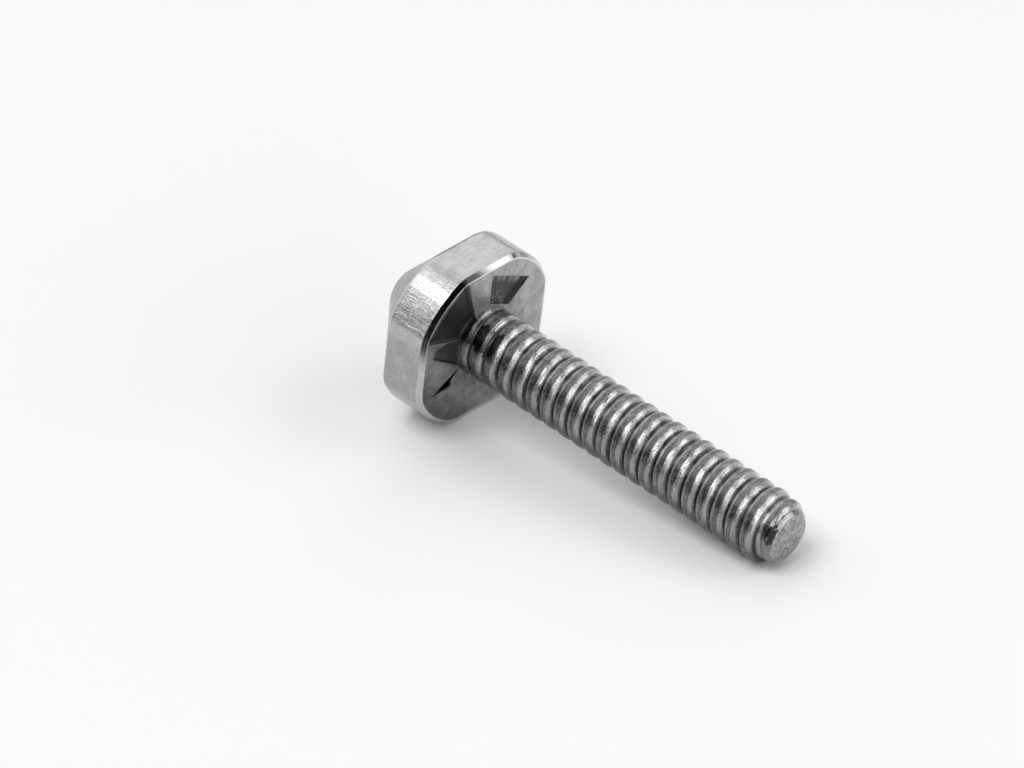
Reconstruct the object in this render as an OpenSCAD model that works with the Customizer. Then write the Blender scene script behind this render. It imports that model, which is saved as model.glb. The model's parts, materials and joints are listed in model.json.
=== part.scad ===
// Machine screw with a heavy trimmed head, a rounded conical crown and a coarse rolled thread.
// It is one forged and rolled piece, drawn as it comes to rest when laid down: on one trimmed
// flat of its head and on its last full thread, with the tip towards +X.
// Its solids are drawn upright first: z = 0 is the seat under the head, +z runs to the tip.

/* [Head] */
// Diameter of the head across its four rounded corners
head_d = 16.4; // [16:0.1:20]
// Width of the head across its four trimmed flats
head_flats = 15.3; // [14.8:0.1:15.9]
// Thickness of the head's side wall, with both of its bevels
wall_t = 4.4; // [2.5:0.1:7]
// How far the bevel round the seat side draws the rim in
front_bevel = 0.27; // [0.1:0.01:0.6]
// Length of that bevel along the screw
front_bevel_l = 0.45; // [0.1:0.05:0.8]
// Bevel round the crown side of the head
back_bevel = 0.22; // [0.1:0.02:0.6]
// Slope of the crown's flank, in degrees from the back of the side wall
crown_slope = 41.5; // [25:0.5:50]
// Radius of the crown's rounded top
crown_r = 3.6; // [2:0.1:4.4]

/* [Pockets in the seat] */
// Depth of the wide pocket
wide_depth = 0.4; // [0.1:0.05:1.5]
// Distance from the screw's axis to the wide pocket's outer edge
wide_reach = 7.4; // [5.5:0.1:7.4]
// Width of the wide pocket towards the rim
wide_outer_w = 6.2; // [3:0.1:6.6]
// Width of the wide pocket just inside the neck
wide_inner_w = 1.8; // [1:0.1:3]
// Depth of the short pocket
short_depth = 0.3; // [0.1:0.05:1.5]
// Distance from the screw's axis to the short pocket's outer edge
short_reach = 6.1; // [5:0.1:6.6]
// Distance from the screw's axis to the short pocket's inner edge
short_start = 3.4; // [3.3:0.1:4.5]
// Width of the short pocket at its outer edge
short_outer_w = 5.4; // [2:0.1:5.8]
// Width of the short pocket at its inner edge
short_inner_w = 2.8; // [1:0.1:3.2]
// Depth of the shallow facet beside the wide pocket
facet_depth = 0.16; // [0.06:0.02:0.4]
// Distance from the screw's axis to the facet's outer edge
facet_reach = 6.35; // [5:0.05:7]
// Depth of the curved crease
crease_depth = 0.9; // [0.2:0.1:1.5]
// Widest part of the curved crease
crease_w = 1; // [0.3:0.1:1.5]
// Distance from the screw's axis to the crease's outer end
crease_reach = 7.35; // [5.5:0.05:7.5]

/* [Shank] */
// Length from the seat under the head to the end face
shank_l = 34.4; // [22:0.1:45]
// Major diameter of the thread
thread_d = 6.35; // [5.6:0.05:7]
// Depth of the thread, from its crest to its root
thread_depth = 0.5; // [0.3:0.02:0.6]
// Pitch of the thread, right-handed with a single start
pitch = 1.6; // [1.2:0.05:2]
// Length over which the thread's root rises towards the head
run_out_l = 3.2; // [1.5:0.1:8]
// How far the plain neck under the head stands proud of the thread
neck_step = 0.03; // [0.02:0.01:0.3]
// Length of the plain neck
neck_l = 0.3; // [0.1:0.05:1]
// Diameter of the plain point past the thread
point_d = 5; // [4.4:0.05:5.2]
// Length of the plain point, with its taper and its end bevel
point_l = 1.4; // [1.1:0.1:3]
// Diameter of the flat end face
end_face_d = 4.3; // [3:0.05:4.35]
// Length of the bevel at the end face
end_bevel = 0.34; // [0.1:0.02:0.6]

/* [Hidden] */
$fn = 96;

corner_r = head_d / 2;
flat_r = min(head_flats, head_d) / 2;
thread_r = thread_d / 2;
root_r = thread_r - thread_depth;
neck_r = thread_r + neck_step;
point_r = point_d / 2;
end_face_r = end_face_d / 2;

// Overlap that joins one solid to the next, and the reach of a cut past its face
weld = 0.05;
past = 1;
// Least land that a pocket leaves inside the front bevel
least_land = 0.06;

// Directions round the axis, in degrees from +Y towards +Z once the screw lies down
wide_at = 135;
short_at = 64.5;
facet_at = 168;
crease_at = 208;
// Widths of the shallow facet beside the neck and at its outer edge
facet_inner_w = 3.6;
facet_outer_w = 0.9;
// How far the corners of a pocket are cut back towards the rim
pocket_corner = 0.45;

// The crown is a cone under a ball that touches it
crown_base_r = flat_r - back_bevel;
crown_tangent_r = crown_r * sin(crown_slope);
crown_flank_h = (crown_base_r - crown_tangent_r) * tan(crown_slope);
crown_centre = -wall_t - crown_flank_h + crown_r * cos(crown_slope);

// Core of the shank as pairs of height and radius, from the neck to the end face
root_rise = 0.42;
point_taper = 0.45;
core = [
    [neck_l, root_r + root_rise],
    [run_out_l, root_r],
    [shank_l - point_l, root_r],
    [shank_l - point_l + point_taper, point_r],
    [shank_l - end_bevel, point_r],
    [shank_l, end_face_r]
];

// The ridge keeps its full height up to full_end, where it faces straight down, then fades out
ridge_steps = 24;
full_end = shank_l - point_l - 0.25 * pitch;
fade_turns = 0.75;
last_height = 0.12;
last_width = 0.5;
first_step = -floor((full_end - neck_l) / pitch * ridge_steps);
last_step = round(fade_turns * ridge_steps);
down = 270;
// Section of the ridge: half widths of its crest, shoulder and foot, and its shoulder's drop
crest_half = 0.12 * pitch;
shoulder_half = 0.28 * pitch;
foot_half = 0.39 * pitch;
shoulder_share = 0.78;

// The screw tips until the flat's front edge and the last full crest both touch down
touch_x = full_end + crest_half;
tilt = atan((flat_r - thread_r) / (touch_x + front_bevel_l));
rest_height = flat_r * cos(tilt) - front_bevel_l * sin(tilt);
back_reach = crown_centre * cos(tilt) - crown_r;
tip_reach = shank_l * cos(tilt) + end_face_r * sin(tilt);
middle_x = (back_reach + tip_reach) / 2;

// Outline of the head, drawn in by a margin: a circle with four trimmed flats
module head_outline(margin) {
    intersection() {
        circle(r = corner_r - margin);
        square(2 * (flat_r - margin), center = true);
    }
}

// Half section of the side wall at a given reach, with a bevel at each end
function wall_section(reach) = [
    [0, -wall_t],
    [reach - back_bevel, -wall_t],
    [reach, -wall_t + back_bevel],
    [reach, -front_bevel_l],
    [reach - front_bevel, 0],
    [0, 0]
];

// Straight bar with the side wall's section on both sides, for a pair of opposite flats
module flat_pair() {
    rotate([90, 0, 0]) linear_extrude(2 * head_d, center = true) union() {
        polygon(wall_section(flat_r));
        mirror([1, 0]) polygon(wall_section(flat_r));
    }
}

module side_wall() {
    intersection() {
        rotate_extrude() polygon(wall_section(corner_r));
        flat_pair();
        rotate([0, 0, 90]) flat_pair();
    }
}

module crown() {
    rotate_extrude() intersection() {
        union() {
            polygon([
                [0, -wall_t + weld],
                [crown_base_r, -wall_t + weld],
                [crown_base_r, -wall_t],
                [crown_tangent_r, -wall_t - crown_flank_h],
                [0, -wall_t - crown_flank_h]
            ]);
            translate([0, crown_centre]) circle(r = crown_r);
        }
        translate([0, -wall_t - 2 * head_d]) square([head_d, 2 * head_d + weld]);
    }
}

// Cuts its 2-D children into the seat to a depth, and keeps them inside the front bevel
module cut_in_seat(depth) {
    translate([0, 0, -depth]) linear_extrude(depth + past) intersection() {
        children();
        head_outline(front_bevel + least_land);
    }
}

// Pocket with straight sides that open towards the rim, and cut outer corners
module tapered_outline(at, from, to, inner_w, outer_w, corner) {
    rotate(at) polygon([
        [from, -inner_w / 2],
        [to - corner, -outer_w / 2],
        [to, -outer_w / 2 + corner],
        [to, outer_w / 2 - corner],
        [to - corner, outer_w / 2],
        [from, inner_w / 2]
    ]);
}

// Crease with one radial edge and one that bows away from it
module crease_outline() {
    span = crease_reach - neck_r;
    rotate(crease_at) polygon([
        [neck_r - weld, 0],
        [neck_r + 0.82 * span, 0],
        [crease_reach, -0.5 * crease_w],
        [neck_r + 0.82 * span, 0.12 * crease_w],
        [neck_r + 0.67 * span, 0.4 * crease_w],
        [neck_r + 0.52 * span, 0.78 * crease_w],
        [neck_r + 0.37 * span, crease_w],
        [neck_r + 0.27 * span, 0.45 * crease_w],
        [neck_r - weld, 0.12 * crease_w]
    ]);
}

module head() {
    difference() {
        union() {
            side_wall();
            crown();
        }
        cut_in_seat(wide_depth)
            tapered_outline(wide_at, root_r, wide_reach, wide_inner_w, wide_outer_w, pocket_corner);
        cut_in_seat(short_depth)
            tapered_outline(short_at, short_start, short_reach, short_inner_w, short_outer_w, 0);
        cut_in_seat(facet_depth)
            tapered_outline(facet_at, root_r, facet_reach, facet_inner_w, facet_outer_w, 0);
        cut_in_seat(crease_depth) crease_outline();
    }
}

// One section of the ridge, at a number of steps from the point where it faces straight down
function ridge_section(i) =
    let(
        z = full_end + i * pitch / ridge_steps,
        a = down + i * 360 / ridge_steps,
        share = min(1, last_height + (last_step - i) / last_step),
        base = lookup(z, core),
        h = (thread_r - base) * share,
        width = last_width + (1 - last_width) * share,
        reach = foot_half * width,
        foot = min(lookup(z - reach, core), lookup(z + reach, core)) - weld,
        profile = [
            [-reach, foot],
            [-shoulder_half * width, base + shoulder_share * h],
            [-crest_half * width, base + h],
            [crest_half * width, base + h],
            [shoulder_half * width, base + shoulder_share * h],
            [reach, foot]
        ]
    )
    [for (p = profile) [p[1] * cos(a), p[1] * sin(a), z + p[0]]];

module ridge() {
    points = [for (i = [first_step : last_step]) each ridge_section(i)];
    n = 6;
    last = len(points) - n;
    sides = [
        for (start = [0 : n : last - n], k = [0 : n - 1])
            let(a = start + k, b = start + (k + 1) % n)
            each [[a, b, b + n], [a, b + n, a + n]]
    ];
    first_cap = [for (k = [n - 1 : -1 : 0]) k];
    last_cap = [for (k = [0 : n - 1]) last + k];
    polyhedron(points, concat([first_cap], sides, [last_cap]), convexity = 20);
}

// The neck runs on into the head, down to the floor of the deepest pocket
module shank() {
    sunk = max(wide_depth, facet_depth, crease_depth) + weld;
    rotate_extrude() polygon(concat(
        [[0, -sunk], [neck_r, -sunk], [neck_r, neck_l]],
        [for (station = core) [station[1], station[0]]],
        [[0, shank_l]]
    ));
    ridge();
}

module machine_screw() {
    color("silver") translate([-middle_x, 0, rest_height]) rotate([0, tilt, 0]) rotate([90, 0, 90]) {
        head();
        shank();
    }
}

machine_screw();
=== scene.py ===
"""Looks of the machine screw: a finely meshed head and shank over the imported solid, brushed steel,
a pale floor, soft studio light and the photograph's camera.

Lengths are in millimetres in the screw's own frame until a mesh is made: x runs along the screw
from the seat under the head to the tip, y is the row frame's +Y, and z points up across the screw.
Directions round the axis are degrees from y towards z, as in the part's source.
"""
import json
import math

import bmesh
import bpy
import numpy as np
from mathutils import Matrix, Vector


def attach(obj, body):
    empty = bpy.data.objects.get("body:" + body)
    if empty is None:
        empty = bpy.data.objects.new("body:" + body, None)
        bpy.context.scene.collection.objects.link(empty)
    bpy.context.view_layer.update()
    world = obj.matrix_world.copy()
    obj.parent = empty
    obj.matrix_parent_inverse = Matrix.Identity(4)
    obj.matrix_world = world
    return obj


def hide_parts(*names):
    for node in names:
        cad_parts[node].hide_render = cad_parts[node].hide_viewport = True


MM = 0.001
WELD = 1e-4  # joins points of a mesh that lie on each other
FULL_TURN = 2 * math.pi

# Sizes of the CAD part
HEAD_R = 8.2  # to the rounded corners
FLAT_R = 7.65  # to the four trimmed flats
WALL_T = 4.4
FRONT_BEVEL = 0.27  # how far it draws the rim in
FRONT_BEVEL_L = 0.45
BACK_BEVEL = 0.22
CROWN_SLOPE = math.radians(41.5)
CROWN_R = 3.6
THREAD_R = 3.175
ROOT_R = 2.675
NECK_R = 3.205
NECK_L = 0.3
RUN_OUT_L = 3.2
RUN_OUT_R = 3.095  # root radius where it meets the neck
PITCH = 1.6
SHANK_L = 34.4
POINT_R = 2.5
POINT_L = 1.4
POINT_TAPER = 0.45
END_FACE_R = 2.15
END_BEVEL = 0.34
FULL_END = SHANK_L - POINT_L - PITCH / 4  # where the ridge faces down and starts to fade
FADE_TURNS = 0.75
LAST_HEIGHT = 0.12  # share of the ridge's height that is left where it ends
LAST_WIDTH = 0.5
THREAD_MOUNT_AT = 17.0  # the record's thread mount lies on the axis, this far from the seat

# Worn facet on the corner towards the camera, which carries a painted highlight: its direction and
# half width, in degrees
WORN_AT, WORN_HALF = 128.0, 4.2

# Camera, fitted to the photograph, with its angles in degrees
AIM = Vector((-5.8428, -3.4797, 7.5216)) * MM
AZIMUTH, ELEVATION = 42.975, 32.597
DISTANCE = 460.62 * MM
LENS = 193.36

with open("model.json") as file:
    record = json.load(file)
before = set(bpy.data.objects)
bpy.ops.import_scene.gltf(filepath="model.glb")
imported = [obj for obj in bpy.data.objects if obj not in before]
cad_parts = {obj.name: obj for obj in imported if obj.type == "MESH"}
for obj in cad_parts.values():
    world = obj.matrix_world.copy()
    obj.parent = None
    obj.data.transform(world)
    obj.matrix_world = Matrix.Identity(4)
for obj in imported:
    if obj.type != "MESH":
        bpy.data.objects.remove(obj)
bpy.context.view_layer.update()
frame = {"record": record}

# The screw's own frame, from the thread's mount
mount = next(m for m in frame["record"]["mounts"] if m["name"] == "thread")
axis = Vector(mount["axis"]).normalized()
seat_centre = Vector(mount["pos_m"]) - axis * THREAD_MOUNT_AT * MM
across = Vector((-axis.z, 0, axis.x))
TO_ROW = Matrix(
    (
        (axis.x, 0, across.x, seat_centre.x),
        (axis.y, 1, across.y, seat_centre.y),
        (axis.z, 0, across.z, seat_centre.z),
        (0, 0, 0, 1),
    )
)


# Shapes and meshes
def smooth_step(x):
    x = np.clip(x, 0, 1)
    return x * x * (3 - 2 * x)


def soft_min(a, b, width):
    """The lesser of two lengths, rounded where they cross."""
    h = np.clip(0.5 + 0.5 * (b - a) / width, 0, 1)
    return b + (a - b) * h - width * h * (1 - h)


def within(distance, blur):
    """1 inside an outline and 0 outside it, with an edge of that width between."""
    return smooth_step(0.5 - distance / blur)


def turned_to(at, points):
    """Points given along and across a direction round the axis, as y and z."""
    c, s = math.cos(math.radians(at)), math.sin(math.radians(at))
    return [(c * x - s * y, s * x + c * y) for x, y in points]


def polygon_distance(y, z, corners):
    """Distance of points from a closed outline, negative inside it."""
    corners = np.array(corners)
    nearest = np.full(y.shape, np.inf)
    inside = np.zeros(y.shape, bool)
    for (ay, az), (by, bz) in zip(corners, np.roll(corners, -1, axis=0)):
        ey, ez = by - ay, bz - az
        t = np.clip(((y - ay) * ey + (z - az) * ez) / (ey * ey + ez * ez), 0, 1)
        nearest = np.minimum(nearest, np.hypot(y - ay - t * ey, z - az - t * ez))
        crosses = (az > z) != (bz > z)
        with np.errstate(divide="ignore", invalid="ignore"):
            at = ay + (z - az) / (bz - az) * (by - ay)
        inside ^= crosses & (y < at)
    return np.where(inside, -nearest, nearest)


def ring(x, radius, angle):
    """Points of one ring round the axis."""
    x, radius = np.broadcast_to(x, angle.shape), np.broadcast_to(radius, angle.shape)
    return np.stack([x, radius * np.cos(angle), radius * np.sin(angle)], -1)


def band(lower, upper, count):
    """Quads between two rings, given by the numbers of their first points."""
    c = np.arange(count)
    n = (c + 1) % count
    return np.stack([lower + c, lower + n, upper + n, upper + c], -1)


def fan(lower, centre, count):
    """Triangles from a ring to a point on the axis."""
    c = np.arange(count)
    return np.stack([lower + c, lower + (c + 1) % count, np.full_like(c, centre)], -1)


def make_piece(name, verts, faces, uvs, materials, face_materials, masks):
    """A mesh piece given in the screw's frame. It keeps those coordinates, in millimetres, as an
    attribute for its materials, and has UVs in millimetres on its face corners."""
    mesh = bpy.data.meshes.new(name)
    mesh.from_pydata((verts * MM).tolist(), [], faces)
    mesh.uv_layers.new(name="surface").uv.foreach_set("vector", uvs.astype(np.float32).ravel())
    place = mesh.attributes.new("screw", "FLOAT_VECTOR", "POINT")
    place.data.foreach_set("vector", verts.astype(np.float32).ravel())
    for label, values in masks.items():
        mask = mesh.attributes.new(label, "FLOAT", "POINT")
        mask.data.foreach_set("value", values.astype(np.float32))
    for material in materials:
        mesh.materials.append(material)
    mesh.polygons.foreach_set("material_index", face_materials.astype(np.int32))
    work = bmesh.new()
    work.from_mesh(mesh)
    bmesh.ops.remove_doubles(work, verts=work.verts, dist=WELD * MM)
    work.to_mesh(mesh)
    work.free()
    mesh.transform(TO_ROW)
    mesh.shade_smooth()
    piece = bpy.data.objects.new(name, mesh)
    bpy.context.scene.collection.objects.link(piece)
    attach(piece, "root")
    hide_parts("machine_screw")


# Materials
def warm(grey):
    """Colour of a grey that is a little warm, as steel is."""
    return (grey, grey * 0.992, grey * 0.978, 1)


class Finish:
    """One finish of the steel: its material, and short calls that add nodes to it."""

    def __init__(self, name):
        self.material = bpy.data.materials.new(name)
        self.material.use_nodes = True
        self.tree = self.material.node_tree
        self.shader = self.tree.nodes["Principled BSDF"]
        self.shader.inputs["Metallic"].default_value = 1
        surface = self.tree.nodes.new("ShaderNodeUVMap")
        surface.uv_map = "surface"
        self.uv = surface.outputs["UV"]
        self.place = self.attribute("screw").outputs["Vector"]

    def attribute(self, name):
        node = self.tree.nodes.new("ShaderNodeAttribute")
        node.attribute_name = name
        return node

    def mask(self, name):
        return self.attribute(name).outputs["Fac"]

    def feed(self, socket, value):
        if isinstance(value, bpy.types.NodeSocket):
            self.tree.links.new(value, socket)
        else:
            socket.default_value = value

    def math(self, operation, a, b=0.0):
        node = self.tree.nodes.new("ShaderNodeMath")
        node.operation = operation
        self.feed(node.inputs[0], a)
        self.feed(node.inputs[1], b)
        return node.outputs[0]

    def total(self, start, *terms):
        """start plus each (value, weight)."""
        for value, weight in terms:
            start = self.math("ADD", start, self.math("MULTIPLY", value, weight))
        return start

    def product(self, first, *others):
        for other in others:
            first = self.math("MULTIPLY", first, other)
        return first

    def most(self, first, *others):
        for other in others:
            first = self.math("MAXIMUM", first, other)
        return first

    def split(self, vector):
        node = self.tree.nodes.new("ShaderNodeSeparateXYZ")
        self.feed(node.inputs[0], vector)
        return node.outputs

    def downward(self):
        """Distance from the axis in direction 225, which is down in the photograph."""
        _, y, z = self.split(self.place)
        return self.math("MULTIPLY", self.math("ADD", y, z), -math.sqrt(0.5))

    def span(self, value, low, high, to_low=0.0, to_high=1.0):
        """value from low to high as to_low to to_high, and held beyond them. low may be the
        greater of the two."""
        node = self.tree.nodes.new("ShaderNodeMapRange")
        node.interpolation_type = "SMOOTHSTEP"
        for socket, number in zip(node.inputs, (value, low, high, to_low, to_high)):
            self.feed(socket, number)
        return node.outputs[0]

    def noise(self, vector, size, turn=0.0, detail=3.0, shift=0.0):
        """Noise whose marks have that size, in millimetres, turned by some degrees."""
        place = self.tree.nodes.new("ShaderNodeMapping")
        place.vector_type = "TEXTURE"
        self.feed(place.inputs["Vector"], vector)
        place.inputs["Scale"].default_value = (*size, 1.0)[:3]  # marks on UVs have two sizes
        place.inputs["Rotation"].default_value = (0, 0, math.radians(turn))
        place.inputs["Location"].default_value = (shift, 0.37 * shift, 0)
        node = self.tree.nodes.new("ShaderNodeTexNoise")
        self.feed(node.inputs["Vector"], place.outputs[0])
        node.inputs["Scale"].default_value = 1
        node.inputs["Detail"].default_value = detail
        # raw noise keeps close to a half, so it is stretched to run from 0 to 1
        return self.span(node.outputs["Fac"], 0.33, 0.67)

    def window(self, value, low, high, soft):
        """1 between low and high, and 0 outside them."""
        rise = self.span(value, low - soft, low + soft)
        return self.math("MULTIPLY", rise, self.span(value, high - soft, high + soft, 1.0, 0.0))

    def line(self, value, at, width):
        """1 on a line and 0 a width away from it."""
        distance = self.math("ABSOLUTE", self.math("SUBTRACT", value, at))
        return self.span(distance, 0.0, width, 1.0, 0.0)

    def colour(self, amount, dark, light, *layers):
        """Base colour between a dark and a light grey, with layers of (mask, grey) over it."""
        below = warm(dark)
        for mask, grey in ((amount, light), *layers):
            node = self.tree.nodes.new("ShaderNodeMix")
            node.data_type = "RGBA"
            self.feed(node.inputs["Factor"], mask)
            self.feed(node.inputs["A"], below)
            self.feed(node.inputs["B"], warm(grey))
            below = node.outputs["Result"]
        self.feed(self.shader.inputs["Base Color"], below)

    def roughness(self, start, *terms):
        """Roughness of start plus each (value, weight)."""
        self.feed(self.shader.inputs["Roughness"], self.total(start, *terms))

    def bump(self, *reliefs):
        """Relief from each (height from 0 to 1, depth in millimetres)."""
        normal = None
        for height, depth in reliefs:
            node = self.tree.nodes.new("ShaderNodeBump")
            node.inputs["Distance"].default_value = depth * MM
            self.feed(node.inputs["Height"], height)
            if normal is not None:
                self.feed(node.inputs["Normal"], normal)
            normal = node.outputs["Normal"]
        self.feed(self.shader.inputs["Normal"], normal)


def round_head(angle):
    """Place of a direction, in degrees, on the head's UVs."""
    return HEAD_R * math.radians(angle)


def wall_finish():
    """Side wall: brushed along the screw, with a scuffed corner towards the camera. It carries
    painted shade towards the bottom, painted highlights on the worn facet and the back bevel, and a
    painted dark reflection on the front bevel.
    """
    f = Finish("side_wall")
    turn, along = f.split(f.uv)[:2]
    down = f.downward()
    brushed = f.noise(f.uv, (0.12, 1.2))
    turned = f.noise(f.uv, (1.4, 0.13))
    cloud = f.noise(f.uv, (2.2, 1.6))
    speckle = f.noise(f.uv, (0.14, 0.14), detail=2, shift=2)
    # painted shade: the wall is painted darker towards the bottom
    low = f.span(down, 3.0, 4.6)
    # the front bevel is a lighter grey, and towards the camera it is painted black as a painted dark
    # reflection, so it stays light at both ends of that
    bevel = f.span(along, -FRONT_BEVEL_L - 0.02, -FRONT_BEVEL_L + 0.03)
    # painted dark reflection on the middle of the front bevel
    bevel_painted_dark_reflection = f.product(bevel, f.window(down, -4.9, 4.2, 1.0))
    # painted highlight: the back bevel is painted as a light strip
    back_bevel = f.span(along, -WALL_T + BACK_BEVEL + 0.02, -WALL_T + BACK_BEVEL - 0.03)
    # fine scratches in three directions and small pits on the scuffed corner
    corner = f.window(turn, round_head(134), round_head(156), 0.45)
    fine = f.noise(f.uv, (0.09, 1.3), turn=15)
    steep = f.noise(f.uv, (0.09, 1.0), turn=-24, shift=7)
    level = f.noise(f.uv, (0.08, 2.2), turn=3, shift=3)
    hairs = f.most(f.span(fine, 0.66, 0.98), f.span(steep, 0.7, 1.0), f.span(level, 0.76, 0.97))
    scuffed = f.product(hairs, corner)
    pits = f.product(f.span(fine, 0.3, 0.05), corner)
    # two long bright gouges
    drift = f.noise(f.uv, (5.0, 1.6), detail=1, shift=11)
    front = f.line(turn, f.total(round_head(151.5), (drift, 0.3)), 0.13)
    rear = f.line(turn, f.total(round_head(148.6), (drift, 0.4)), 0.12)
    gouges = f.most(
        f.product(front, f.window(along, -2.7, -0.6, 0.2)),
        f.product(rear, f.window(along, -4.1, -2.8, 0.2)),
    )
    # painted highlight: the worn facet is painted much lighter than the wall
    worn = f.window(turn, round_head(WORN_AT - WORN_HALF), round_head(WORN_AT + WORN_HALF), 0.05)
    textures = ((brushed, 0.36), (turned, 0.3), (cloud, 0.3), (speckle, 0.24))
    wear_and_facet_highlight = ((pits, 0.3), (scuffed, 0.66), (gouges, 1.0), (worn, 0.7))
    bevels = ((back_bevel, 0.8), (bevel, 0.5), (bevel_painted_dark_reflection, 0.05))
    f.colour(f.total(-0.1, *textures, (low, -0.45)), 0.35, 0.58, *wear_and_facet_highlight, *bevels)
    f.roughness(0.2, (brushed, 0.06), (corner, 0.04), (worn, -0.06), (bevel, -0.09))
    f.bump((brushed, 0.003), (turned, 0.003), (speckle, 0.003), (scuffed, 0.004), (gouges, 0.006))
    return f.material


def crown_finish():
    """Crown: a smooth forged face with faint turning marks."""
    f = Finish("crown")
    cloud = f.noise(f.place, (0.9, 0.9, 0.9), detail=4)
    turned = f.noise(f.uv, (2.5, 0.12))
    f.colour(f.total(0.1, (cloud, 0.5), (turned, 0.3)), 0.13, 0.27)
    f.roughness(0.2, (cloud, 0.08))
    f.bump((cloud, 0.003), (turned, 0.001))
    return f.material


def seat_finish():
    """Seat: matte land with forging grain, painted darker near the neck and towards the bottom as
    painted shade, and smooth pockets, a facet and a crease painted dark as painted shade and painted
    dark reflection, with painted highlights on the rim round the wide pocket and on the seat's edge.
    """
    f = Finish("seat")
    wide, short, facet, crease = (f.mask(name) for name in ("wide", "short", "facet", "crease"))
    _, y, z = f.split(f.place)
    radius = f.math("SQRT", f.math("ADD", f.product(y, y), f.product(z, z)))
    grain = f.noise(f.place, (0.16, 0.16, 0.16), detail=4)
    cloud = f.noise(f.place, (1.1, 1.1, 1.1))
    streaks = f.noise(f.uv, (0.12, 1.4))
    # painted shade: the land is painted darker near the neck and towards the bottom
    neck_painted_shade = f.span(radius, NECK_R, NECK_R + 2.6, 1.0, 0.0)
    low = f.span(f.downward(), 3.5, 7.5)
    textures = ((grain, 0.36), (cloud, 0.3), (streaks, 0.16))
    land = f.total(0.3, *textures, (neck_painted_shade, -0.4), (low, -0.7))
    # the short pocket is brushed over at its edge, and holds a few bright specks
    teeth = f.noise(f.uv, (0.4, 1.4), detail=4, shift=6)
    brushed_edge = f.product(f.mask("fuzz"), f.span(teeth, 0.35, 0.75))
    specks = f.product(f.mask("specks"), f.span(grain, 0.92, 1.0))
    # painted shade and painted dark reflection: the wide and short pockets and the facet are painted
    # dark; the brushed edge and the specks are lighter marks over them
    pockets = ((facet, 0.12), (short, 0.055), (brushed_edge, 0.24), (specks, 0.45), (wide, 0.095))
    # painted highlights on the rim round the wide pocket and on the seat's edge, and painted shade
    # that makes the crease black
    edge_highlights_and_crease_shade = ((f.mask("rim"), 0.5), (f.mask("edge"), 0.85), (crease, 0.008))
    f.colour(land, 0.13, 0.47, *pockets, *edge_highlights_and_crease_shade)
    pocket = f.most(wide, short)
    f.roughness(0.27, (grain, 0.1), (pocket, 0.08))
    f.bump((f.product(grain, f.math("SUBTRACT", 1.0, pocket)), 0.007), (cloud, 0.006))
    return f.material


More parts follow.
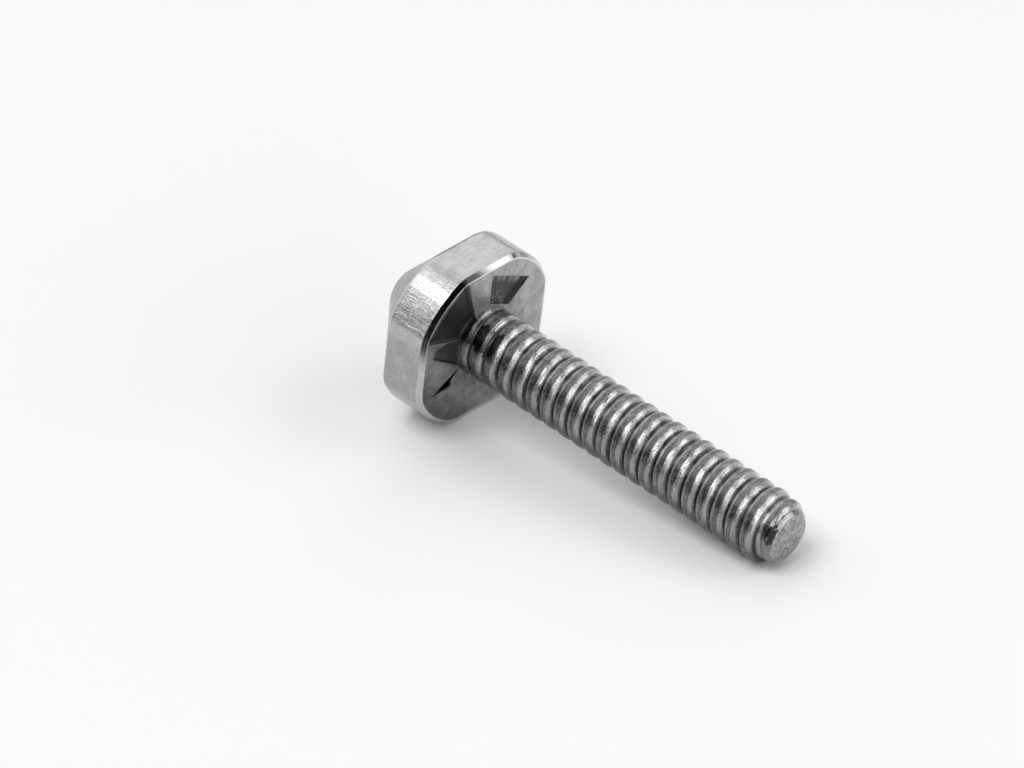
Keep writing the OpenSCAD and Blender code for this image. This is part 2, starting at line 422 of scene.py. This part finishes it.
def thread_finish():
    """Thread: rolled steel with streaks and laps that run round with the ridge. Its crest is dull,
    and its flank towards the tip carries a painted highlight, and the plain point is lighter.
    Painted shade darkens its lower side and grooves, and painted dark reflections lie on the crest
    and in the run-out under the head."""
    f = Finish("thread")
    ridge = f.split(f.uv)[1]  # distance from the crest, negative on the side of the head
    reach = f.split(f.place)[0]
    down = f.downward()
    streaks = f.noise(f.uv, (2.8, 0.08))
    fine = f.noise(f.uv, (1.2, 0.055), detail=2, shift=13)
    broad = f.noise(f.uv, (3.0, 0.22), shift=5)
    blotch = f.noise(f.place, (0.3, 0.3, 0.3))
    drift = f.noise(f.uv, (4.0, 4.0), detail=2, shift=9)
    # the lower half is painted darker as painted shade, and its lowest part more so
    low = f.span(down, 0.4, 1.6)
    painted_lowest_shade = f.span(down, 2.3, 3.1)
    painted_shade_dimming = f.total(1.0, (painted_lowest_shade, -0.85))
    # parts of the ridge, from its crest out to the grooves beside it
    beside = f.math("ABSOLUTE", ridge)
    crest = f.span(beside, 0.3, 0.4, 1.0, 0.0)
    groove = f.span(beside, 0.66, 0.74)
    # painted light: the ridge's flank towards the head is painted lighter, less so on the lower side
    shoulder = f.product(
        f.window(ridge, -0.64, -0.28, 0.06), f.total(0.5, (streaks, 0.3), (low, -0.3)), painted_shade_dimming
    )
    # painted highlight: the flank towards the tip is painted bright
    painted_flank_highlight = f.window(f.total(ridge, (drift, 0.1), (streaks, 0.06)), 0.34, 0.68, 0.07)
    # a dark lap and light hairs run along the crest, and a painted dark reflection darkens the crest
    # halfway down; the hairs fade on the lower half as painted shade
    lap = f.product(f.line(ridge, f.total(-0.12, (drift, 0.25)), 0.06), f.span(broad, 0.3, 0.7))
    hairs = f.product(f.span(fine, 0.7, 0.95), crest, f.total(1.0, (low, -0.5)))
    painted_mid_crest_reflection = f.product(f.window(down, -1.0, 0.5, 0.4), crest, 0.85)
    # a painted dark reflection along the crest on the lower front, broken up by noise, and another
    # painted dark reflection in the run-out under the head
    painted_lower_front_reflection = f.product(
        f.window(f.total(down, (broad, 0.7)), 0.3, 1.9, 0.5), crest, f.span(blotch, 0.1, 0.8)
    )
    # painted dark reflection in the run-out under the head
    painted_run_out_reflection = f.product(
        f.window(f.total(down, (blotch, 0.5)), -0.9, 1.4, 0.2),
        f.window(f.total(reach, (drift, 0.6)), 0.1, 3.6, 0.2),
    )
    # the painted highlight on the flank is not even, and is dimmed as painted shade on the lower
    # side and under the head
    bright = f.product(
        painted_flank_highlight,
        f.total(1.0, (low, -0.62)),
        f.total(0.66, (broad, 0.34)),
        f.total(1.0, (painted_run_out_reflection, -0.7)),
        painted_shade_dimming,
    )
    # painted shade: the grooves are painted dark, and on the upper half a painted light line lifts
    # them, fading on the lower side
    light_groove = f.product(groove, f.total(0.6, (low, -0.6)))
    # the plain point is a lighter steel, with painted shade on its lower side and a painted dark
    # reflection band across it
    point = f.span(reach, SHANK_L - 0.75, SHANK_L - 0.65)
    shine = f.product(point, f.total(0.6, (streaks, 0.4)))
    point_painted_shade = f.product(point, low)
    point_painted_reflection_band = f.product(point, f.window(f.total(down, (blotch, 0.6)), 0.0, 1.6, 0.3))
    textures = ((streaks, 0.5), (broad, 0.3), (blotch, 0.3))
    # the colour takes painted shade on the lower half and on its lowest part
    f.colour(
        f.total(0.0, *textures, (low, -0.35), (painted_lowest_shade, -0.7)),
        0.09,
        0.36,
        (lap, 0.03),
        (hairs, 0.42),
        (shoulder, 0.7),
        (painted_mid_crest_reflection, 0.06),
        (painted_lower_front_reflection, 0.07),
        (painted_run_out_reflection, 0.02),
        (bright, 0.68),
        (groove, 0.05),
        (light_groove, 0.22),
        (shine, 0.45),
        (point_painted_shade, 0.26),
        (point_painted_reflection_band, 0.04),
    )
    f.roughness(0.22, (streaks, 0.06), (blotch, 0.06), (painted_flank_highlight, -0.02), (point, -0.08))
    f.bump((streaks, 0.014), (fine, 0.009), (broad, 0.012), (blotch, 0.006), (lap, -0.014))
    return f.material


def end_finish():
    """End face: sheared and matte."""
    f = Finish("end_face")
    grain = f.noise(f.place, (0.2, 0.2, 0.2), detail=4)
    cloud = f.noise(f.place, (0.7, 0.7, 0.7))
    f.colour(f.total(-0.15, (grain, 0.8), (cloud, 0.5)), 0.17, 0.52)
    f.roughness(0.32, (grain, 0.1))
    f.bump((grain, 0.006), (cloud, 0.006))
    return f.material


# Head
HEAD_COLUMNS = 720
SEAT_RINGS = 66
WALL_RINGS = 14
CROWN_RINGS = 14  # on its flank, and again on its rounded top
SEAT, WALL, CROWN = range(3)  # the head's materials, by number
CORNER_ROUNDING = 0.35
CUT_WALL = 0.12  # width of a pocket's sloping wall
CREASE_WALL = 0.18
RIM = 0.07  # half width of the painted highlight rim round the wide pocket
SEAT_EDGE = 0.22  # width of the painted highlight edge round the seat
theta = np.linspace(0, FULL_TURN, HEAD_COLUMNS, endpoint=False)


def outline(inset):
    """Radius of the head's outline at every column, drawn in by a margin: a circle with four
    trimmed flats and a narrow worn facet on one of its rounded corners."""
    flat = (FLAT_R - inset) / np.maximum(np.abs(np.cos(theta)), np.abs(np.sin(theta)))
    off = (theta - math.radians(WORN_AT) + math.pi) % FULL_TURN - math.pi
    worn = (HEAD_R * math.cos(math.radians(WORN_HALF)) - inset) / np.maximum(np.cos(off), 0.1)
    rounded = np.minimum(HEAD_R - inset, worn)
    return soft_min(rounded, flat, CORNER_ROUNDING)


def tapered(at, start, reach, inner_w, outer_w, corner):
    """Outline of a pocket that opens towards the rim, as in the part's source."""
    points = [
        (start, -inner_w / 2),
        (reach - corner, -outer_w / 2),
        (reach, -outer_w / 2 + corner),
        (reach, outer_w / 2 - corner),
        (reach - corner, outer_w / 2),
        (start, inner_w / 2),
    ]
    return turned_to(at, points)


def curved_crease(at, reach, width):
    """Outline of the crease, which has one radial edge and one that bows away from it."""
    reached = [
        (0.82, 0),
        (1, -0.5),
        (0.82, 0.12),
        (0.67, 0.4),
        (0.52, 0.78),
        (0.37, 1),
        (0.27, 0.45),
    ]
    points = [(NECK_R + far * (reach - NECK_R), wide * width) for far, wide in reached]
    start = NECK_R - 0.05
    return turned_to(at, [(start, 0), *points, (start, 0.12 * width)])


SHORT_AT = 64.5
WIDE_POCKET = tapered(at=135, start=ROOT_R, reach=7.4, inner_w=1.8, outer_w=6.2, corner=0.45)
SHORT_POCKET = tapered(at=SHORT_AT, start=3.4, reach=6.1, inner_w=2.8, outer_w=5.4, corner=0.05)
FACET = tapered(at=168, start=ROOT_R, reach=6.35, inner_w=3.6, outer_w=0.9, corner=0.05)
CREASE = curved_crease(at=208, reach=7.35, width=1.0)
WIDE_DEPTH, SHORT_DEPTH, FACET_DEPTH, CREASE_DEPTH = 0.4, 0.3, 0.16, 0.9


def cut(distance, depth, wall):
    """Depth of a cut whose sloping wall is that wide, from the distance to its outline."""
    return depth * smooth_step(-distance / wall)


def seat_shape(y, z):
    """Height of the seat along x, and masks of its pockets, facet and crease."""
    wide = polygon_distance(y, z, WIDE_POCKET)
    short = polygon_distance(y, z, SHORT_POCKET)
    facet = polygon_distance(y, z, FACET)
    crease = polygon_distance(y, z, CREASE)
    depth = np.maximum.reduce(
        [
            cut(wide, WIDE_DEPTH, CUT_WALL),
            cut(short, SHORT_DEPTH, CUT_WALL),
            cut(facet, FACET_DEPTH, CUT_WALL),
            cut(crease, CREASE_DEPTH, CREASE_WALL),
        ]
    )
    # the short pocket's outer part is brushed over, and its inner part holds specks
    outward = y * math.cos(math.radians(SHORT_AT)) + z * math.sin(math.radians(SHORT_AT))
    outer_part = smooth_step((outward - 5.2) / 0.7) * smooth_step((6.5 - outward) / 0.2)
    inner_part = smooth_step((5.2 - np.hypot(y, z)) / 0.6)
    # the pocket, facet and crease masks carry painted shade in the seat's colour, and rim a painted
    # highlight
    masks = {
        "wide": within(wide, 0.08),
        "short": within(short, 0.08),
        "fuzz": outer_part * within(short, 0.4),
        "specks": within(short, 0.08) * inner_part,
        "facet": within(facet, 0.12) * smooth_step(wide / 0.05),
        "crease": within(crease, 0.1),
        "rim": np.clip(1 - np.abs(wide - RIM) / RIM, 0, 1),
    }
    return -depth, masks


def build_head():
    """Rings from inside the neck over the seat, the side wall and the crown to its apex."""
    rings, kinds, seat_masks = [], [], []

    def add_ring(kind, x, radius):
        rings.append(ring(x, radius, theta))
        kinds.append(kind)

    seat_edge = outline(FRONT_BEVEL)
    inner_r = NECK_R - 0.25
    for share in np.linspace(0, 1, SEAT_RINGS):
        r = inner_r + (seat_edge - inner_r) * share
        x, found = seat_shape(r * np.cos(theta), r * np.sin(theta))
        # painted highlight: a light edge round the seat
        found["edge"] = smooth_step(1 - (seat_edge - r) / SEAT_EDGE)
        add_ring(SEAT, x, r)
        seat_masks.append(found)
    for share in (0.03, 0.08, 0.92, 0.97, 1):
        add_ring(WALL, -FRONT_BEVEL_L * share, outline(FRONT_BEVEL * (1 - share)))
    for x in np.linspace(-FRONT_BEVEL_L - 0.03, -WALL_T + BACK_BEVEL + 0.05, WALL_RINGS):
        add_ring(WALL, x, outline(0))
    add_ring(WALL, -WALL_T + BACK_BEVEL * 0.6, outline(0.03))
    add_ring(WALL, -WALL_T + 0.04, outline(BACK_BEVEL - 0.05))
    add_ring(CROWN, -WALL_T, outline(BACK_BEVEL))
    base_r = FLAT_R - BACK_BEVEL
    tangent_r = CROWN_R * math.sin(CROWN_SLOPE)
    flank_h = (base_r - tangent_r) * math.tan(CROWN_SLOPE)
    centre = -WALL_T - flank_h + CROWN_R * math.cos(CROWN_SLOPE)
    for share in np.linspace(0, 1, CROWN_RINGS):
        add_ring(CROWN, -WALL_T - flank_h * share, base_r + (tangent_r - base_r) * share)
    for angle in np.linspace(CROWN_SLOPE, 0, CROWN_RINGS)[1:-1]:
        add_ring(CROWN, centre - CROWN_R * math.cos(angle), CROWN_R * math.sin(angle))
    verts = np.vstack([*rings, [[centre - CROWN_R, 0, 0]]])
    apex = len(verts) - 1
    starts = [k * HEAD_COLUMNS for k in range(len(rings))]
    quads = np.vstack([band(a, b, HEAD_COLUMNS) for a, b in zip(starts, starts[1:])])
    cap = fan(starts[-1], apex, HEAD_COLUMNS)
    # faces take the material of the ring that they end at, and the masks hold for the seat alone
    index = np.repeat(kinds[1:] + [CROWN], HEAD_COLUMNS)
    beyond = np.zeros(len(verts) - SEAT_RINGS * HEAD_COLUMNS)
    masks = {
        name: np.concatenate([found[name] for found in seat_masks] + [beyond])
        for name in seat_masks[0]
    }
    # UVs: round the head and along it, where the last column meets the first a full turn on
    angle = np.concatenate([np.tile(theta, len(rings)), [0]])
    corners = np.concatenate([quads.ravel(), cap.ravel()])
    first = np.concatenate([np.repeat(quads[:, 0], 4), np.repeat(cap[:, 0], 3)])
    passed = (angle[corners] < 0.5) & (angle[first] > 5)
    u = (angle[corners] + FULL_TURN * passed) * HEAD_R
    uvs = np.stack([u, verts[corners][:, 0]], -1)
    return verts, quads.tolist() + cap.tolist(), uvs, index, masks


# Shank
TURN_STEPS = 144
BURIED = 1.2  # how far the shank's mesh reaches into the head
# Radius of the core along the screw, as in the part's source
CORE = [
    (NECK_L, NECK_R),
    (NECK_L + 0.01, RUN_OUT_R),
    (RUN_OUT_L, ROOT_R),
    (SHANK_L - POINT_L, ROOT_R),
    (SHANK_L - POINT_L + POINT_TAPER, POINT_R),
]
# Rows of the mesh from a groove to the next crest, in shares of the pitch from the crest
HALF_ROWS = [0.5, 0.475, 0.45, 0.42, 0.385, 0.345, 0.3, 0.25, 0.195, 0.14, 0.085, 0.04]
PROFILE = np.array([-share for share in HALF_ROWS] + [0] + HALF_ROWS[:0:-1]) * PITCH
PROFILE_ROWS = len(PROFILE)
# Section of the ridge: distance from its middle as a share of the pitch, and share of its height
SECTION = [
    (0, 0.985),
    (0.07, 1),
    (0.14, 0.985),
    (0.21, 0.93),
    (0.28, 0.82),
    (0.34, 0.66),
    (0.39, 0.46),
    (0.43, 0.25),
    (0.465, 0.07),
    (0.5, 0),
]
# Rings of the plain point and its bevel, then of the end face
POINT_RINGS = [
    (SHANK_L - END_BEVEL - 0.04, POINT_R),
    (SHANK_L - END_BEVEL + 0.02, POINT_R - 0.025),
    (SHANK_L - 0.03, END_FACE_R + 0.035),
]
END_RINGS = [
    (SHANK_L, END_FACE_R - 0.03),
    (SHANK_L, END_FACE_R * 0.7),
    (SHANK_L, END_FACE_R * 0.35),
]


def wander(u, v, seed):
    """A smooth uneven value between about -1 and 1 over two directions, repeatable by its seed."""
    total = np.zeros(np.broadcast(u, v).shape)
    chance = np.random.default_rng(seed)
    for _ in range(9):
        wu, wv, phase = chance.normal(0, 1), chance.normal(0, 1), chance.uniform(0, FULL_TURN)
        total += np.sin(wu * u + wv * v + phase)
    return total / 4.5


def shank_radius(x, angle):
    """Radius of the shank's surface at a distance along the screw and a direction round it."""
    share = (angle - 0.75 * FULL_TURN) / FULL_TURN
    turns = (x - FULL_END) / PITCH - share
    offset = (turns - np.round(turns)) * PITCH
    along = share + np.round(turns)
    height = np.clip(1 + LAST_HEIGHT - np.maximum(along, 0) / FADE_TURNS, 0, 1)
    width = LAST_WIDTH + (1 - LAST_WIDTH) * height
    height *= smooth_step((FADE_TURNS + 0.04 - along) / 0.1)
    core = np.interp(x, *zip(*CORE))
    # rolled crests wander a little from turn to turn, and never stand proud of the thread
    lean = 0.05 * wander(along * 9, 0.0, seed=3)
    aside = np.abs(offset + lean * np.cos(math.pi * offset / PITCH)) / width
    section = np.interp(aside / PITCH, *zip(*SECTION))
    dip = 0.012 * (1 + wander(along * 14, 0.0, seed=8)) * (section > 0.5)
    return core + (np.maximum(THREAD_R - core, 0) * section - dip) * height


def build_shank():
    """Rows that follow the helix, then rings of the plain point and the end face."""
    low, high = -BURIED, SHANK_L - END_BEVEL - 0.07
    groove = FULL_END - 1.25 * PITCH  # middle of a groove in direction 0
    first = math.floor((low - groove) / PITCH) - 1
    turns = math.ceil((high - groove) / PITCH) + 1 - first
    offset = np.tile(PROFILE, turns)
    turn = np.repeat(np.arange(turns), PROFILE_ROWS)
    angle = np.linspace(0, FULL_TURN, TURN_STEPS, endpoint=False)
    rows = groove + (first + turn + 0.5) * PITCH + offset
    x = np.clip(rows[:, None] + PITCH * (angle[None, :] / FULL_TURN), low, high)
    r = shank_radius(x, angle[None, :])
    verts = np.stack([x, r * np.cos(angle), r * np.sin(angle)], -1).reshape(-1, 3)
    # quads between a row and the next, where the last column meets the first one a turn on
    n = TURN_STEPS
    row = np.arange(len(rows) - 1 - PROFILE_ROWS)[:, None]
    c = np.arange(n)[None, :]
    right = np.where(c + 1 < n, row * n + c + 1, (row + PROFILE_ROWS) * n)
    right_up = np.where(c + 1 < n, (row + 1) * n + c + 1, (row + 1 + PROFILE_ROWS) * n)
    faces = np.stack([row * n + c, right, right_up, (row + 1) * n + c], -1).reshape(-1, 4)
    # UVs run on along the helix, and across the ridge from groove to groove
    step = FULL_TURN / n * THREAD_R
    u = (angle[None, :] + FULL_TURN * turn[row]) * THREAD_R + 0 * row
    v = offset[row] + 0 * c
    v_up = np.where(offset[row + 1] > offset[row], offset[row + 1], PITCH / 2) + 0 * c
    round_quad = [(u, v), (u + step, v), (u + step, v_up), (u, v_up)]
    uvs = np.stack([np.stack(corner, -1) for corner in round_quad], -2).reshape(-1, 4, 2)
    # rows that were held at an end of the shank leave quads with no length
    kept = np.ptp(verts[faces][:, :, 0], axis=1) > 1e-9
    faces, uvs = faces[kept], uvs[kept].reshape(-1, 2)
    rings = POINT_RINGS + END_RINGS
    starts = [len(verts) + k * n for k in range(-1, len(rings))]
    verts = np.vstack([verts, *(ring(x, r, angle) for x, r in rings), [[SHANK_L, 0, 0]]])
    tip = np.vstack([band(a, b, n) for a, b in zip(starts, starts[1:])])
    cap = fan(starts[-1], len(verts) - 1, n)
    tip_uvs = verts[np.concatenate([tip.ravel(), cap.ravel()])][:, 1:]
    # thread material as far as the bevel, and the end face's from there
    threaded = len(faces) + len(POINT_RINGS) * n
    quads = faces.tolist() + tip.tolist() + cap.tolist()
    index = (np.arange(len(quads)) >= threaded).astype(int)
    return verts, quads, np.vstack([uvs, tip_uvs]), index


verts, faces, uvs, index, masks = build_head()
finishes = [seat_finish(), wall_finish(), crown_finish()]
make_piece("screw_head", verts, faces, uvs, finishes, index, masks)
verts, faces, uvs, index = build_shank()
make_piece("screw_shank", verts, faces, uvs, [thread_finish(), end_finish()], index, {})


# Floor, light and camera
def add_floor():
    mesh = bpy.data.meshes.new("floor")
    half = 3.0
    corners = [(-half, -half, 0), (half, -half, 0), (half, half, 0), (-half, half, 0)]
    mesh.from_pydata(corners, [], [(0, 1, 2, 3)])
    floor = bpy.data.objects.new("floor", mesh)
    bpy.context.scene.collection.objects.link(floor)
    paper = bpy.data.materials.new("floor_paper")
    paper.use_nodes = True
    shader = paper.node_tree.nodes["Principled BSDF"]
    shader.inputs["Base Color"].default_value = (0.9, 0.9, 0.9, 1)
    shader.inputs["Roughness"].default_value = 0.9
    mesh.materials.append(paper)


def direction(azimuth, elevation):
    """Unit vector towards a place round the screw, in the camera's terms: azimuth 0 is at -Y."""
    a, e = math.radians(azimuth), math.radians(elevation)
    return Vector((math.sin(a) * math.cos(e), -math.cos(a) * math.cos(e), math.sin(e)))


def turn_towards(thing, towards):
    """Turns a light or the camera, which looks along its own -Z, back along a direction."""
    thing.rotation_mode = "QUATERNION"
    thing.rotation_quaternion = towards.to_track_quat("Z", "Y")


def add_softbox(name, azimuth, elevation, distance, width, height, radiance):
    """A rectangular light that faces the screw. Its strength is the brightness of its face."""
    light = bpy.data.lights.new(name, "AREA")
    light.shape = "RECTANGLE"
    light.size, light.size_y = width, height
    light.energy = radiance * math.pi * width * height
    lamp = bpy.data.objects.new(name, light)
    bpy.context.scene.collection.objects.link(lamp)
    towards = direction(azimuth, elevation)
    lamp.location = towards * distance
    turn_towards(lamp, towards)
    lamp.visible_camera = False


def add_world():
    world = bpy.data.worlds.new("studio")
    bpy.context.scene.world = world
    world.use_nodes = True
    world.node_tree.nodes["Background"].inputs["Color"].default_value = (0.05, 0.05, 0.05, 1)


def add_camera():
    camera = bpy.data.objects.new("camera", bpy.data.cameras.new("camera"))
    bpy.context.scene.collection.objects.link(camera)
    camera.data.sensor_width = 36
    camera.data.lens = LENS
    camera.data.clip_start, camera.data.clip_end = 0.01, 20
    towards = direction(AZIMUTH, ELEVATION)
    camera.location = AIM + towards * DISTANCE
    turn_towards(camera, towards)
    bpy.context.scene.camera = camera


add_floor()
add_world()
# name, azimuth and elevation of its middle, distance, width, height, brightness
for softbox in (
    ("key", -5, 62, 1.2, 0.7, 0.7, 5.0),
    ("left_back", -105, 53, 1.2, 2.4, 0.8, 1.25),
    ("back_high", 138, 46, 1.1, 0.7, 0.36, 2.4),
    ("left_front", -31, 22, 1.1, 0.3, 0.7, 0.7),
    ("left_low", -92, 14, 1.1, 1.3, 0.5, 0.9),
    ("back_low", -165, 18, 1.2, 1.2, 0.5, 0.9),
    ("right", 77, 16, 1.0, 0.78, 0.46, 2.6),
    ("back_right", 120, 16, 1.0, 0.8, 0.46, 2.6),
):
    add_softbox(*softbox)
add_camera()
bpy.context.scene.view_settings.view_transform = "Standard"
